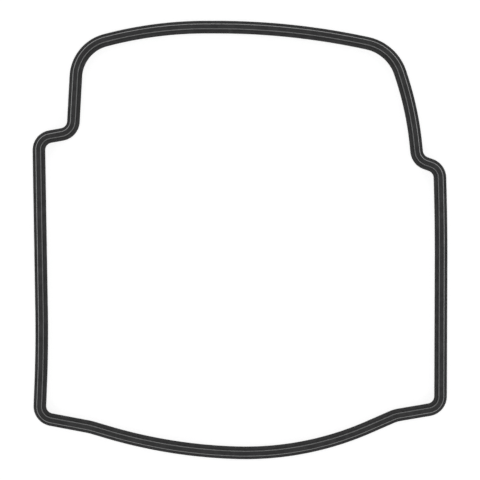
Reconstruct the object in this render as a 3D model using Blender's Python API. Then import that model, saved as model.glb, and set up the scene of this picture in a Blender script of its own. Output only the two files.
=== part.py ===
"""Valve cover gasket: one endless strip of moulded rubber that follows the rail of a valve cover.

The strip has the same section all the way round: a flat flange, a tongue on top that presses into the
cover's groove, and two low sealing beads underneath. Metres, +Z up, +Y towards the arched end. The
origin is in the middle of the outline's box, on the plane that the sealing beads rest on.
"""

import math

import bmesh
import bpy
from mathutils import Vector

# Section, across the strip and up from the crests of the sealing beads
FLANGE_WIDTH = 0.0072
FLANGE_THICKNESS = 0.0022
FLANGE_EDGE_RADIUS = 0.00025
TONGUE_HEIGHT = 0.0050
TONGUE_TOP_WIDTH = 0.0032
TONGUE_DRAFT = math.radians(1.5)
TONGUE_CORNER_RADIUS = 0.00055
TONGUE_ROOT_RADIUS = 0.0003
BEAD_HEIGHT = 0.0004
BEAD_BASE_WIDTH = 0.0012
BEAD_CREST_WIDTH = 0.0005
BEAD_EDGE_MARGIN = 0.0012

# Outline of the strip's centreline: the sides and their slight bow
BODY_WIDTH = 0.2300
LEFT_FOOT_Y = -0.1014
LEFT_FOOT_INSET = 0.0004
LEFT_BOW_Y = -0.0614
LEFT_BOW_INSET = 0.0020
LEFT_BOW_RADIUS = 0.760
RIGHT_FOOT_Y = -0.0959
RIGHT_FOOT_INSET = 0.0004
RIGHT_BOW_Y = 0.0114
RIGHT_BOW_RADIUS = 1.410

# The steps in to the shoulders
CORNER_RADIUS = 0.0078
LEFT_STEP_Y = 0.0579
LEFT_STEP_DEPTH = 0.0195
LEFT_STEP_RISE = 0.0035
RIGHT_STEP_Y = 0.0410
RIGHT_STEP_INSET = 0.0009
RIGHT_STEP_DEPTH = 0.0126
RIGHT_STEP_RISE = 0.0045

# The shoulders and the arch over them
CROWN_Y = 0.1216
LEFT_SHOULDER_LEAN = 0.0026
LEFT_SHOULDER_DROP = 0.0117
LEFT_SHOULDER_RADIUS = 0.0225
RIGHT_SHOULDER_LEAN = 0.0143
RIGHT_SHOULDER_DROP = 0.0123
RIGHT_SHOULDER_RADIUS = 0.0255
RIGHT_FLANK_LEAN = 0.0030
RIGHT_FLANK_RISE = 0.0284
RIGHT_FLANK_RADIUS = 0.183
ARCH_LEFT_REACH = 0.0666
ARCH_LEFT_RADIUS = 0.225
ARCH_RIGHT_REACH = 0.0850
ARCH_RIGHT_RADIUS = 0.408

# The bowl at the foot, between two shallow bends
LEFT_BEND_REACH = 0.0295
LEFT_BEND_DROP = 0.0055
LEFT_BEND_RADIUS = 0.040
RIGHT_BEND_REACH = 0.0262
RIGHT_BEND_DROP = 0.0044
RIGHT_BEND_RADIUS = 0.018
BOWL_LEFT_REACH = 0.0746
BOWL_LEFT_DEPTH = 0.0189
BOWL_LEFT_RADIUS = 0.290
BOWL_RIGHT_REACH = 0.0780
BOWL_RIGHT_DEPTH = 0.0270
BOWL_RIGHT_RADIUS = 0.175

# The most that a facet may leave between its chord and the arc
OUTLINE_SAGITTA = 0.00005
SECTION_SAGITTA = 0.00002

RUBBER_COLOUR = (0.021, 0.021, 0.022, 1.0)
RUBBER_ROUGHNESS = 0.55


def outline_corners():
    """The corners of the centreline before rounding, clockwise from above: (across, up, radius)."""
    left = -BODY_WIDTH / 2
    right = BODY_WIDTH / 2
    left_neck = left + LEFT_STEP_DEPTH
    right_neck = right - RIGHT_STEP_INSET - RIGHT_STEP_DEPTH
    right_neck_y = RIGHT_STEP_Y + RIGHT_STEP_RISE
    return [
        (left_neck + LEFT_SHOULDER_LEAN, CROWN_Y - LEFT_SHOULDER_DROP, LEFT_SHOULDER_RADIUS),
        (left + ARCH_LEFT_REACH, CROWN_Y, ARCH_LEFT_RADIUS),
        (right - ARCH_RIGHT_REACH, CROWN_Y, ARCH_RIGHT_RADIUS),
        (right_neck - RIGHT_SHOULDER_LEAN, CROWN_Y - RIGHT_SHOULDER_DROP, RIGHT_SHOULDER_RADIUS),
        (right_neck - RIGHT_FLANK_LEAN, right_neck_y + RIGHT_FLANK_RISE, RIGHT_FLANK_RADIUS),
        (right_neck, right_neck_y, CORNER_RADIUS),
        (right - RIGHT_STEP_INSET, RIGHT_STEP_Y, CORNER_RADIUS),
        (right, RIGHT_BOW_Y, RIGHT_BOW_RADIUS),
        (right - RIGHT_FOOT_INSET, RIGHT_FOOT_Y, CORNER_RADIUS),
        (right - RIGHT_BEND_REACH, RIGHT_FOOT_Y - RIGHT_BEND_DROP, RIGHT_BEND_RADIUS),
        (right - BOWL_RIGHT_REACH, RIGHT_FOOT_Y - BOWL_RIGHT_DEPTH, BOWL_RIGHT_RADIUS),
        (left + BOWL_LEFT_REACH, LEFT_FOOT_Y - BOWL_LEFT_DEPTH, BOWL_LEFT_RADIUS),
        (left + LEFT_BEND_REACH, LEFT_FOOT_Y - LEFT_BEND_DROP, LEFT_BEND_RADIUS),
        (left + LEFT_FOOT_INSET, LEFT_FOOT_Y, CORNER_RADIUS),
        (left + LEFT_BOW_INSET, LEFT_BOW_Y, LEFT_BOW_RADIUS),
        (left, LEFT_STEP_Y, CORNER_RADIUS),
        (left_neck, LEFT_STEP_Y + LEFT_STEP_RISE, CORNER_RADIUS),
    ]


def arc(centre, start, angle, steps):
    """Points on an arc about centre, from start through the signed angle, both ends included."""
    spoke = start - centre
    points = []
    for step in range(steps + 1):
        turn = angle * step / steps
        points.append(
            centre
            + Vector(
                (
                    spoke.x * math.cos(turn) - spoke.y * math.sin(turn),
                    spoke.x * math.sin(turn) + spoke.y * math.cos(turn),
                )
            )
        )
    return points


def rounded_loop(corners, sagitta):
    """The closed polygon of corners with each one rounded to its radius, as far as its sides have room.

    The facets of each arc leave at most the sagitta between chord and arc.
    """
    places = [Vector(corner[:2]) for corner in corners]
    count = len(places)
    headings = [(places[(i + 1) % count] - places[i]).normalized() for i in range(count)]
    lengths = [(places[(i + 1) % count] - places[i]).length for i in range(count)]
    turns = [-headings[i - 1].angle_signed(headings[i], 0.0) for i in range(count)]
    wanted = [corners[i][2] * math.tan(abs(turns[i]) / 2) for i in range(count)]
    points = []
    for i in range(count):
        room_before = lengths[i - 1] / max(wanted[i - 1] + wanted[i], lengths[i - 1])
        room_after = lengths[i] / max(wanted[i] + wanted[(i + 1) % count], lengths[i])
        fit = min(room_before, room_after)
        radius = corners[i][2] * fit
        if abs(turns[i]) < 1e-6 or radius < 1e-6:
            points.append(places[i])
            continue
        start = places[i] - headings[i - 1] * wanted[i] * fit
        inward = Vector((-headings[i - 1].y, headings[i - 1].x)) * math.copysign(1.0, turns[i])
        facet = 2 * math.acos(1 - min(sagitta / radius, 0.5))
        steps = math.ceil(abs(turns[i]) / facet)
        points += arc(start + inward * radius, start, turns[i], steps)
    return points


def centreline():
    """The strip's centreline as points, moved so that the middle of its box is the origin."""
    points = rounded_loop(outline_corners(), OUTLINE_SAGITTA)
    across = [point.x for point in points]
    up = [point.y for point in points]
    middle = Vector(((min(across) + max(across)) / 2, (min(up) + max(up)) / 2))
    return [point - middle for point in points]


def section_corners():
    """The section's corners with their edge radii, from under the middle round its +X side and back."""
    base = BEAD_HEIGHT
    shelf = base + FLANGE_THICKNESS
    top = shelf + TONGUE_HEIGHT
    edge = FLANGE_WIDTH / 2
    tongue_top = TONGUE_TOP_WIDTH / 2
    tongue_root = tongue_top + TONGUE_HEIGHT * math.tan(TONGUE_DRAFT)
    bead = edge - BEAD_EDGE_MARGIN - BEAD_BASE_WIDTH / 2
    half = [
        (bead - BEAD_BASE_WIDTH / 2, base, 0.0),
        (bead - BEAD_CREST_WIDTH / 2, 0.0, 0.0),
        (bead + BEAD_CREST_WIDTH / 2, 0.0, 0.0),
        (bead + BEAD_BASE_WIDTH / 2, base, 0.0),
        (edge, base, FLANGE_EDGE_RADIUS),
        (edge, shelf, FLANGE_EDGE_RADIUS),
        (tongue_root, shelf, TONGUE_ROOT_RADIUS),
        (tongue_top, top, TONGUE_CORNER_RADIUS),
    ]
    return half + [(-across, up, radius) for across, up, radius in reversed(half)]


def guide_curve(name, points, collection):
    """A closed flat curve through the points, kept out of the model."""
    data = bpy.data.curves.new(name, "CURVE")
    data.dimensions = "2D"
    data.fill_mode = "NONE"
    spline = data.splines.new("POLY")
    spline.points.add(len(points) - 1)
    for knot, point in zip(spline.points, points):
        knot.co = (point.x, point.y, 0.0, 1.0)
    spline.use_cyclic_u = True
    guide = bpy.data.objects.new(name, data)
    guide.hide_render = True
    guide.display_type = "WIRE"
    collection.objects.link(guide)
    return guide


def new_collection(name):
    collection = bpy.data.collections.new(name)
    bpy.context.scene.collection.children.link(collection)
    return collection


def rubber():
    """Black moulded rubber, matt."""
    material = bpy.data.materials.new("black_rubber")
    material.use_nodes = True
    shader = material.node_tree.nodes["Principled BSDF"]
    shader.inputs["Base Color"].default_value = RUBBER_COLOUR
    shader.inputs["Roughness"].default_value = RUBBER_ROUGHNESS
    shader.inputs["Metallic"].default_value = 0.0
    return material


def swept_strip(name, path, section, collection):
    """The section carried round the path, as a mesh object with its normals facing out."""
    path.data.bevel_mode = "OBJECT"
    path.data.bevel_object = section
    graph = bpy.context.evaluated_depsgraph_get()
    mesh = bpy.data.meshes.new_from_object(path.evaluated_get(graph))
    mesh.name = name
    strip = bmesh.new()
    strip.from_mesh(mesh)
    bmesh.ops.recalc_face_normals(strip, faces=strip.faces)
    strip.to_mesh(mesh)
    strip.free()
    mesh.shade_smooth()
    mesh.set_sharp_from_angle(angle=math.radians(35))
    made = bpy.data.objects.new(name, mesh)
    collection.objects.link(made)
    return made


for old in list(bpy.data.objects):
    bpy.data.objects.remove(old)

parts = new_collection("valve_cover_gasket")
guides = new_collection("guides")
path = guide_curve("centreline_guide", centreline(), guides)
section = guide_curve("section_guide", rounded_loop(section_corners(), SECTION_SAGITTA), guides)
gasket = swept_strip("gasket", path, section, parts)
gasket.data.materials.clear()
gasket.data.materials.append(rubber())
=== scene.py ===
import math

import bpy
import numpy as np
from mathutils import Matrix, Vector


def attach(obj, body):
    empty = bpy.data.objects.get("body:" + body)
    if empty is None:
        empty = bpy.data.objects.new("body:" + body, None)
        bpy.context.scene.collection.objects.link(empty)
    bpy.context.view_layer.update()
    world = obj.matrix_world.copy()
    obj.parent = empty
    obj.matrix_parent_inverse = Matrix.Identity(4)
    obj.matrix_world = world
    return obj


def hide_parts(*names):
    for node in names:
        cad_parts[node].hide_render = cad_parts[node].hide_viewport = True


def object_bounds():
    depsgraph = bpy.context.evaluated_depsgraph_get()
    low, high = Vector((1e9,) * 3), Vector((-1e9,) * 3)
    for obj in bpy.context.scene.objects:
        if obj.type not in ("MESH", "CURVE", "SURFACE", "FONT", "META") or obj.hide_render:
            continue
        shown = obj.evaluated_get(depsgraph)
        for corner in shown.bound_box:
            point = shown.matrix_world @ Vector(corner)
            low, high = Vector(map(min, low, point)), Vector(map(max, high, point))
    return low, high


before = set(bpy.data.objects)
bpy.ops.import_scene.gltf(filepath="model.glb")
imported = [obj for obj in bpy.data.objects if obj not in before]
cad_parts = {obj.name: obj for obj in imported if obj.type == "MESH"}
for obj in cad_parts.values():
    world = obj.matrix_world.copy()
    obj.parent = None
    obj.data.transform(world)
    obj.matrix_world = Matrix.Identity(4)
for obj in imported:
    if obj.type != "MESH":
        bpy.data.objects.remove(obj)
cad_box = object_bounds()


# The moulded ring
# A valve cover gasket, one endless piece of black rubber pressed in a two-part mould. It is held by the
# tongue on its flat flange, which presses into the cover's groove, and two beads below seal on the head.

# Each corner of its line before rounding: metres to the right, metres towards the arch, radius
LINE_CORNERS = {
    "left_shoulder": (-0.0929, 0.1099, 0.0225),
    "arch_left": (-0.0484, 0.1216, 0.2250),
    "arch_right": (0.0300, 0.1216, 0.4080),
    "right_shoulder": (0.0872, 0.1093, 0.0255),
    "right_flank": (0.0985, 0.0739, 0.1830),
    "right_step_in": (0.1015, 0.0455, 0.0078),
    "right_step_out": (0.1141, 0.0410, 0.0078),
    "right_side": (0.1150, 0.0114, 1.4100),
    "right_foot": (0.1146, -0.0959, 0.0078),
    "right_bend": (0.0888, -0.1003, 0.0180),
    "bowl_right": (0.0370, -0.1229, 0.1750),
    "bowl_left": (-0.0404, -0.1203, 0.2900),
    "left_bend": (-0.0855, -0.1069, 0.0400),
    "left_foot": (-0.1146, -0.1014, 0.0078),
    "left_side": (-0.1130, -0.0614, 0.7600),
    "left_step_out": (-0.1150, 0.0579, 0.0078),
    "left_step_in": (-0.0955, 0.0614, 0.0078),
}
LINE_FACET_ANGLE = math.radians(0.2)
LINE_SPACING = 0.0012

# Its section: metres across from the middle, and metres up from the crests of the beads
FLANGE_HALF_WIDTH = 0.00354
FLANGE_UNDERSIDE = 0.0004
FLANGE_TOP = 0.0026
FLANGE_EDGE_RADIUS = 0.00025
TONGUE_ROOT_HALF_WIDTH = 0.00173
TONGUE_ROOT_RADIUS = 0.0003
TONGUE_TOP_HALF_WIDTH = 0.00160
TONGUE_TOP = 0.0076
TONGUE_EDGE_RADIUS = 0.00055
BEAD_MIDDLE = 0.00180
BEAD_FOOT_HALF_WIDTH = 0.00060
BEAD_CREST_HALF_WIDTH = 0.00025
BEAD_EDGE_RADIUS = 0.0001
SECTION_FACET_ANGLE = math.radians(12)
SHARP_FROM_ANGLE = math.radians(40)

# What the trimming left of the flash where the mould halves met
FLASH_PROUD = 0.00005
FLASH_LOW = 0.00130
FLASH_HIGH = 0.00150


def rounded_line(corners, facet_angle):
    """Points round the closed line through the corners, with each corner rounded to its radius."""
    places = np.array([corner[:2] for corner in corners])
    legs = np.roll(places, -1, axis=0) - places
    headings = legs / np.hypot(*legs.T)[:, None]
    arrivals = np.roll(headings, 1, axis=0)
    points = []
    for (_, _, radius), place, arrival, heading in zip(corners, places, arrivals, headings):
        if radius == 0.0:
            points.append(place)
            continue
        turn = math.atan2(arrival[0] * heading[1] - arrival[1] * heading[0], arrival @ heading)
        inward = np.array([-arrival[1], arrival[0]]) * math.copysign(radius, turn)
        centre = place - arrival * radius * math.tan(abs(turn) / 2) + inward
        for angle in np.linspace(0.0, turn, math.ceil(abs(turn) / facet_angle) + 1):
            cos, sin = math.cos(angle), math.sin(angle)
            points.append(centre - np.array([[cos, -sin], [sin, cos]]) @ inward)
    return np.array(points)


def distances_round(points):
    """How far round the closed line each of its points lies, and last the length of the whole line."""
    steps = np.roll(points, -1, axis=0) - points
    return np.concatenate([[0.0], np.cumsum(np.hypot(*steps.T))])


def evenly_spaced(points, spacing):
    """The same closed line with its points an even distance apart."""
    reached = distances_round(points)
    closed = np.vstack([points, points[:1]])
    stops = np.linspace(0.0, reached[-1], round(reached[-1] / spacing), endpoint=False)
    return np.column_stack([np.interp(stops, reached, closed[:, axis]) for axis in (0, 1)])


line = evenly_spaced(rounded_line(list(LINE_CORNERS.values()), LINE_FACET_ANGLE), LINE_SPACING)
cad_middle = (cad_box[0] + cad_box[1]) / 2
line += np.array(cad_middle.xy) - (line.min(axis=0) + line.max(axis=0)) / 2

outer_half = [
    (BEAD_MIDDLE - BEAD_FOOT_HALF_WIDTH, FLANGE_UNDERSIDE, BEAD_EDGE_RADIUS),
    (BEAD_MIDDLE - BEAD_CREST_HALF_WIDTH, 0.0, BEAD_EDGE_RADIUS),
    (BEAD_MIDDLE + BEAD_CREST_HALF_WIDTH, 0.0, BEAD_EDGE_RADIUS),
    (BEAD_MIDDLE + BEAD_FOOT_HALF_WIDTH, FLANGE_UNDERSIDE, BEAD_EDGE_RADIUS),
    (FLANGE_HALF_WIDTH, FLANGE_UNDERSIDE, FLANGE_EDGE_RADIUS),
    (FLANGE_HALF_WIDTH, FLASH_LOW, 0.0),
    (FLANGE_HALF_WIDTH + FLASH_PROUD, FLASH_LOW + FLASH_PROUD, 0.0),
    (FLANGE_HALF_WIDTH + FLASH_PROUD, FLASH_HIGH - FLASH_PROUD, 0.0),
    (FLANGE_HALF_WIDTH, FLASH_HIGH, 0.0),
    (FLANGE_HALF_WIDTH, FLANGE_TOP, FLANGE_EDGE_RADIUS),
    (TONGUE_ROOT_HALF_WIDTH, FLANGE_TOP, TONGUE_ROOT_RADIUS),
    (TONGUE_TOP_HALF_WIDTH, TONGUE_TOP, TONGUE_EDGE_RADIUS),
]
inner_half = [(-across, up, radius) for across, up, radius in reversed(outer_half)]
section = rounded_line(outer_half + inner_half, SECTION_FACET_ANGLE)
across, up = section.T


def swept_ring(name, line, section, floor_z):
    """A closed mesh of the section carried round the line, with the section's across pointing outward."""
    forward = np.roll(line, -1, axis=0) - np.roll(line, 1, axis=0)
    forward /= np.hypot(*forward.T)[:, None]
    outward = np.column_stack([-forward[:, 1], forward[:, 0]])
    vertices = np.empty((len(line), len(section), 3))
    vertices[:, :, :2] = line[:, None] + outward[:, None] * section[None, :, :1]
    vertices[:, :, 2] = floor_z + section[:, 1]
    rings = np.arange(len(line))[:, None] * len(section)
    next_rings = np.roll(rings, -1, axis=0)
    here = np.arange(len(section))[None, :]
    beside = np.roll(here, -1, axis=1)
    faces = np.stack([rings + here, rings + beside, next_rings + beside, next_rings + here], axis=-1)
    mesh = bpy.data.meshes.new(name)
    mesh.from_pydata(vertices.reshape(-1, 3).tolist(), [], faces.reshape(-1, 4).tolist())
    mesh.shade_smooth()
    mesh.set_sharp_from_angle(angle=SHARP_FROM_ANGLE)
    made = bpy.data.objects.new(name, mesh)
    bpy.context.scene.collection.objects.link(made)
    return made


ring = swept_ring("moulded_ring", line, section, cad_box[0].z)

# The ring's skin laid flat for textures: equal stretches of it, one above another and a little apart
FLAT_MAP = "OFBake"
FLAT_ROWS = 5
FLAT_MARGIN = 0.01

stops = np.arange(len(line) + 1) * FLAT_ROWS / len(line)
rows = np.floor(stops[:-1])
reached = distances_round(section) / distances_round(section)[-1]
filled = 1.0 - 2.0 * FLAT_MARGIN
flat = np.empty((len(line), len(section), 4, 2))
# The four corners of each face, in its own order, as steps along the line and around the section
for corner, (along, around) in enumerate([(0, 0), (0, 1), (1, 1), (1, 0)]):
    right = stops[along : along + len(line), None] - rows[:, None]
    above = reached[None, around : around + len(section)]
    flat[:, :, corner, 0] = FLAT_MARGIN + filled * right
    flat[:, :, corner, 1] = (rows[:, None] + FLAT_MARGIN + filled * above) / FLAT_ROWS
ring.data.uv_layers.new(name=FLAT_MAP).uv.foreach_set("vector", flat.ravel().astype(np.float32))

# A painted highlight on the tongue's two rounded edges, standing in for the gloss they catch: the metres up
# and across where it starts, and where it is full
HIGHLIGHT_HEIGHTS = (0.00705, 0.00745)
HIGHLIGHT_REACHES = (0.00106, 0.00136)
OUTER_EDGE_HIGHLIGHT = 1.00
INNER_EDGE_HIGHLIGHT = 0.52

# The outer edge's painted highlight is dimmest along the bowl, where that edge faces away from the stronger
# light, and full from partway up the sides: metres towards the arch
BOWL_EDGE_HIGHLIGHT = 0.66
BOWL_FADE = (-0.125, -0.035)

# Painted light on the flange, against the shade that the tongue casts on it, fades out a little way up the
# tongue: metres up
FLANGE_LIGHT_FADE = (0.0028, 0.0031)


def ramp(values, start, full):
    """0 up to the start, 1 from full on, and rising evenly between them."""
    return np.clip((values - start) / (full - start), 0.0, 1.0)


# Painted highlight on the tongue's rounded edges, standing in for the gloss they catch: full on the outer
# edge, about half on the inner edge, dimmer along the bowl
edge = ramp(up, *HIGHLIGHT_HEIGHTS) * ramp(np.abs(across), *HIGHLIGHT_REACHES)
outer_highlight = BOWL_EDGE_HIGHLIGHT + (OUTER_EDGE_HIGHLIGHT - BOWL_EDGE_HIGHLIGHT) * ramp(line[:, 1], *BOWL_FADE)
tongue_edge_highlight = edge * np.where(across > 0.0, outer_highlight[:, None], INNER_EDGE_HIGHLIGHT)
# The flange is painted lighter, offsetting the shade that the tongue casts on it
flange_painted_light = np.tile(1.0 - ramp(up, *FLANGE_LIGHT_FADE), (len(line), 1))
for label, values in (("tongue_edge_highlight", tongue_edge_highlight), ("flange_painted_light", flange_painted_light)):
    attribute = ring.data.attributes.new(label, "FLOAT", "POINT")
    attribute.data.foreach_set("value", values.ravel().astype(np.float32))


def add_node(tree, kind, inputs=None, **properties):
    """A new node in the tree. An input gets a value, or a link where it is given another node's output."""
    node = tree.nodes.new(kind)
    for name, value in properties.items():
        setattr(node, name, value)
    for name, value in (inputs or {}).items():
        if isinstance(value, bpy.types.NodeSocket):
            tree.links.new(value, node.inputs[name])
        else:
            node.inputs[name].default_value = value
    return node


def new_group(name, inputs, output):
    """A node group with the given float inputs, as {name: default}, and one float output."""
    tree = bpy.data.node_groups.new(name, "ShaderNodeTree")
    for label, default in inputs.items():
        socket = tree.interface.new_socket(label, in_out="INPUT", socket_type="NodeSocketFloat")
        socket.default_value = default
    tree.interface.new_socket(output, in_out="OUTPUT", socket_type="NodeSocketFloat")
    given = tree.nodes.new("NodeGroupInput").outputs
    return tree, given, tree.nodes.new("NodeGroupOutput").inputs[output]


def own_place(tree):
    """Where a point lies, in metres from the origin of the object that wears the material."""
    return tree.nodes.new("ShaderNodeTexCoord").outputs["Object"]


def noise(tree, scale, detail, roughness=0.5):
    """Noise over the piece, with its scale in waves per metre."""
    inputs = {"Vector": own_place(tree), "Scale": scale, "Detail": detail, "Roughness": roughness}
    return add_node(tree, "ShaderNodeTexNoise", inputs).outputs["Fac"]


def calculated(tree, operation, *values, clamped=False):
    """The result of one piece of arithmetic on numbers or other nodes' outputs."""
    inputs = dict(enumerate(values))
    return add_node(tree, "ShaderNodeMath", inputs, operation=operation, use_clamp=clamped).outputs["Value"]


def rescaled(tree, value, old, new=(0.0, 1.0)):
    """The value carried from its old range to the new one, and held at the ends of it."""
    inputs = {"Value": value, "From Min": old[0], "From Max": old[1], "To Min": new[0], "To Max": new[1]}
    return add_node(tree, "ShaderNodeMapRange", inputs).outputs["Result"]


# Grain of the mould's eroded face, over the slow waves of rubber that shrank as it cooled
GRAIN_VALUES = {"Grains Per Metre": 4500.0, "Waves Per Metre": 260.0}
WAVES_OVER_GRAINS = 4.0
GRAIN_DEPTH = 0.00006

grain, given, made = new_group("mould_grain", GRAIN_VALUES, "Height")
grains = noise(grain, given["Grains Per Metre"], detail=2.0)
waves = noise(grain, given["Waves Per Metre"], detail=1.0)
grain.links.new(calculated(grain, "MULTIPLY_ADD", waves, WAVES_OVER_GRAINS, grains), made)

# The faint grey bloom that cured rubber sweats out in patches
BLOOM_VALUES = {"Patches Per Metre": 220.0, "Amount": 0.5}
BLOOM_PATCH_RANGE = (0.42, 0.60)

bloom, given, made = new_group("rubber_bloom", BLOOM_VALUES, "Mask")
clouds = noise(bloom, given["Patches Per Metre"], detail=5.0, roughness=0.6)
patches = rescaled(bloom, clouds, BLOOM_PATCH_RANGE)
bloom.links.new(calculated(bloom, "MULTIPLY", patches, given["Amount"]), made)

# A painted highlight along a moulded edge: thin in some places, and made of fine flecks rather than one even
# band
HIGHLIGHT_VALUES = {"Nearness": 0.0, "Breaks Per Metre": 350.0, "Missing": 0.2, "Flecks Per Metre": 4000.0}
FLECK_RANGE = (0.36, 0.64)
FLECK_STRENGTHS = (0.55, 1.30)

highlight_group, given, made = new_group("painted_edge_highlight", HIGHLIGHT_VALUES, "Mask")
breaks = noise(highlight_group, given["Breaks Per Metre"], detail=3.0)
missing = calculated(highlight_group, "MULTIPLY", breaks, given["Missing"])
highlight_mask = calculated(highlight_group, "MULTIPLY", calculated(highlight_group, "SUBTRACT", 1.0, missing), given["Nearness"])
fleck_noise = noise(highlight_group, given["Flecks Per Metre"], detail=3.0)
flecks = rescaled(highlight_group, fleck_noise, FLECK_RANGE, FLECK_STRENGTHS)
highlight_group.links.new(calculated(highlight_group, "MULTIPLY", highlight_mask, flecks, clamped=True), made)

# Small pale specks of dust, one in some of the cells of a fine random grid
DUST_VALUES = {"Cells Per Metre": 900.0, "Size": 0.09, "Share": 0.2}
DUST_GREY = (0.10, 0.10, 0.098, 1.0)

dust, given, made = new_group("dust_specks", DUST_VALUES, "Mask")
grid = {"Vector": own_place(dust), "Scale": given["Cells Per Metre"]}
cells = add_node(dust, "ShaderNodeTexVoronoi", grid)
speck = calculated(dust, "LESS_THAN", cells.outputs["Distance"], given["Size"])
lot = add_node(dust, "ShaderNodeSeparateColor", {"Color": cells.outputs["Color"]}).outputs["Red"]
chosen = calculated(dust, "LESS_THAN", lot, given["Share"])
dust.links.new(calculated(dust, "MULTIPLY", speck, chosen), made)

# The pits of the grain swallow most of the gloss
RUBBER_SHINE = 0.12


def placed(tree, group, inputs):
    """The one output of a node group that is placed in the tree with these inputs."""
    return add_node(tree, "ShaderNodeGroup", inputs, node_tree=group).outputs[0]


def blended(tree, share, first, second):
    """The colour that goes from first to second as the share rises."""
    # A mix node takes its two colours at inputs 6 and 7, and gives the mixed one at output 2
    return add_node(tree, "ShaderNodeMix", {0: share, 6: first, 7: second}, data_type="RGBA").outputs[2]


def rubber(name, black, bloomed, highlight_grey, smooth, rough, bloom_amount, flange_light_amount, highlight_missing):
    """Black rubber with patches of bloom, painted light on the flange against the tongue's shade, painted
    highlights on the tongue's edges, grain and dust.
    """
    material = bpy.data.materials.new(name)
    material.use_nodes = True
    tree = material.node_tree
    shader = tree.nodes["Principled BSDF"]
    shader.inputs["Metallic"].default_value = 0.0
    shader.inputs["Specular IOR Level"].default_value = RUBBER_SHINE

    patches = placed(tree, bloom, {**BLOOM_VALUES, "Amount": bloom_amount})
    flange_light_mask = add_node(tree, "ShaderNodeAttribute", attribute_name="flange_painted_light").outputs["Fac"]
    # The bloom patches are the rubber's own; the flange's share added to them is painted light against the
    # tongue's shade
    bloom_and_flange_light = calculated(tree, "MULTIPLY_ADD", flange_light_mask, flange_light_amount, patches, clamped=True)
    edge = add_node(tree, "ShaderNodeAttribute", attribute_name="tongue_edge_highlight").outputs["Fac"]
    # Painted highlight on the tongue's rounded edges, broken into gaps and flecks
    highlight_mask = placed(tree, highlight_group, {**HIGHLIGHT_VALUES, "Nearness": edge, "Missing": highlight_missing})
    specks = placed(tree, dust, DUST_VALUES)
    colour = blended(tree, bloom_and_flange_light, black, bloomed)
    colour = blended(tree, highlight_mask, colour, highlight_grey)
    colour = blended(tree, specks, colour, DUST_GREY)
    tree.links.new(colour, shader.inputs["Base Color"])
    tree.links.new(rescaled(tree, bloom_and_flange_light, (0.0, 1.0), (smooth, rough)), shader.inputs["Roughness"])

    height = placed(tree, grain, GRAIN_VALUES)
    bump = add_node(tree, "ShaderNodeBump", {"Height": height, "Strength": 1.0, "Distance": GRAIN_DEPTH})
    tree.links.new(bump.outputs["Normal"], shader.inputs["Normal"])
    return material


ring.data.materials.append(
    rubber(
        "black_moulded_rubber",
        black=(0.0105, 0.0105, 0.0107, 1.0),
        bloomed=(0.0320, 0.0320, 0.0326, 1.0),
        # grey of the painted highlight on the tongue's edges
        highlight_grey=(0.3900, 0.3900, 0.3920, 1.0),
        smooth=0.60,
        rough=0.66,
        bloom_amount=0.5,
        # painted light on the flange, offsetting the tongue's shade
        flange_light_amount=0.42,
        highlight_missing=0.25,
    )
)
ring.data.materials.append(
    rubber(
        "trimmed_flash_rubber",
        black=(0.0200, 0.0200, 0.0204, 1.0),
        bloomed=(0.0400, 0.0400, 0.0408, 1.0),
        # grey of the painted highlight on the tongue's edges
        highlight_grey=(0.2000, 0.2000, 0.2020, 1.0),
        smooth=0.70,
        rough=0.90,
        bloom_amount=1.0,
        flange_light_amount=0.0,
        highlight_missing=0.0,
    )
)

# A facet is the flash's if its middle lies out past the flange's side, as it does on the flash's slopes too
facet_across = (across + np.roll(across, -1)) / 2
on_flash = np.abs(facet_across) > FLANGE_HALF_WIDTH + FLASH_PROUD / 4
ring.data.polygons.foreach_set("material_index", np.tile(on_flash, len(line)).astype(np.int32))

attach(ring, "root")
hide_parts("gasket")


# The table under it
# A white matt sheet, lit by the same lamps and sky as the ring, so that it keeps the ring's shadow. It
# adds a little white of its own to what the camera and the rubber's gloss see of it.
TABLE_RADIUS = 3.0
TABLE_SIDES = 128
TABLE_WHITE = 0.8
TABLE_ROUGHNESS = 0.9

# The white of its own rises with the distance from the table's middle, as the lamps' light falls off
OWN_WHITE = (0.28, 1.00)
OWN_WHITE_RISE = (0.20, 0.80)


def seen_or_mirrored(tree):
    """1 for rays from the camera and for those that gloss or glass sends on, and 0 for soft light."""
    rays = tree.nodes.new("ShaderNodeLightPath").outputs
    glossy = calculated(tree, "MAXIMUM", rays["Is Camera Ray"], rays["Is Glossy Ray"])
    return calculated(tree, "MAXIMUM", glossy, rays["Is Transmission Ray"])


table_place = (0.0, 0.0, cad_box[0].z)
bpy.ops.mesh.primitive_circle_add(
    vertices=TABLE_SIDES, radius=TABLE_RADIUS, fill_type="NGON", location=table_place
)
table = bpy.context.object
table.name = "white_table"
sheet = bpy.data.materials.new("white_matt_sheet")
sheet.use_nodes = True
tree = sheet.node_tree
shader = tree.nodes["Principled BSDF"]
shader.inputs["Base Color"].default_value = (TABLE_WHITE, TABLE_WHITE, TABLE_WHITE, 1.0)
shader.inputs["Roughness"].default_value = TABLE_ROUGHNESS
shader.inputs["Specular IOR Level"].default_value = 0.0
shader.inputs["Emission Color"].default_value = (1.0, 1.0, 1.0, 1.0)
distance = add_node(tree, "ShaderNodeVectorMath", {0: own_place(tree)}, operation="LENGTH").outputs["Value"]
whiteness = rescaled(tree, distance, OWN_WHITE_RISE, OWN_WHITE)
own_white = calculated(tree, "MULTIPLY", seen_or_mirrored(tree), whiteness)
tree.links.new(own_white, shader.inputs["Emission Strength"])
table.data.materials.append(sheet)


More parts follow.
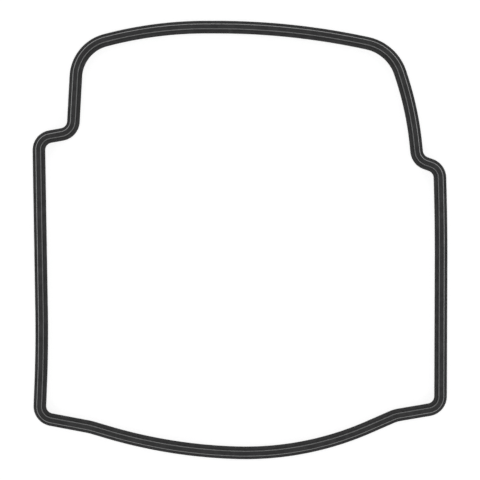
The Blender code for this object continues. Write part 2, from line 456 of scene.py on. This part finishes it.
# The lamps and the sky
# A broad soft lamp hangs over the table, behind the camera, and a ring of small ones stands low round
# it, so that both edges of the tongue catch some light all the way round, under an even white sky.
OVERHEAD_HEIGHT = 1.80
OVERHEAD_SIZE = 0.60
OVERHEAD_WATTS = 22.0
LOW_LAMPS = 12
LOW_LAMP_DISTANCE = 0.45
LOW_LAMP_HEIGHT = 0.30
LOW_LAMP_SIZE = 0.12
LOW_LAMP_WATTS = 0.04
SKY_LIGHT = 0.22
SKY_SEEN = 1.0


def round_lamp(name, size, watts, location, lean, bearing):
    """A soft round lamp that leans from straight down towards its bearing."""
    light = bpy.data.lights.new(name, "AREA")
    light.shape = "DISK"
    light.size = size
    light.energy = watts
    lamp = bpy.data.objects.new(name, light)
    lamp.location = location
    lamp.rotation_euler = (0.0, lean, bearing)
    lamp.visible_camera = False
    bpy.context.scene.collection.objects.link(lamp)


round_lamp("overhead_lamp", OVERHEAD_SIZE, OVERHEAD_WATTS, (0.0, 0.0, OVERHEAD_HEIGHT), 0.0, 0.0)
lean = math.atan2(LOW_LAMP_DISTANCE, LOW_LAMP_HEIGHT)
for number in range(LOW_LAMPS):
    bearing = 2 * math.pi * number / LOW_LAMPS
    to_right = LOW_LAMP_DISTANCE * math.cos(bearing)
    to_arch = LOW_LAMP_DISTANCE * math.sin(bearing)
    location = (to_right, to_arch, LOW_LAMP_HEIGHT)
    round_lamp(f"low_lamp_{number + 1}", LOW_LAMP_SIZE, LOW_LAMP_WATTS, location, lean, bearing)

sky = bpy.data.worlds.new("white_sky")
sky.use_nodes = True
tree = sky.node_tree
tree.nodes.clear()
strength = rescaled(tree, seen_or_mirrored(tree), (0.0, 1.0), (SKY_LIGHT, SKY_SEEN))
background = add_node(tree, "ShaderNodeBackground", {"Color": (1.0, 1.0, 1.0, 1.0), "Strength": strength})
add_node(tree, "ShaderNodeOutputWorld", {"Surface": background.outputs["Background"]})
bpy.context.scene.world = sky
bpy.context.scene.view_settings.view_transform = "Standard"


# The camera
# It hangs straight over the middle of the ring and looks down, with the arched end at the top of the
# picture, from so far that the ring's sides hardly lean outward.
CAMERA_HEIGHT = 1.46
CAMERA_LENS_MM = 191.42
CAMERA_SENSOR_MM = 36.0

camera = bpy.data.cameras.new("overhead_camera")
camera.sensor_width = CAMERA_SENSOR_MM
camera.lens = CAMERA_LENS_MM
tripod = bpy.data.objects.new("overhead_camera", camera)
tripod.location = (0.0, 0.0, CAMERA_HEIGHT)
bpy.context.scene.collection.objects.link(tripod)
bpy.context.scene.camera = tripod
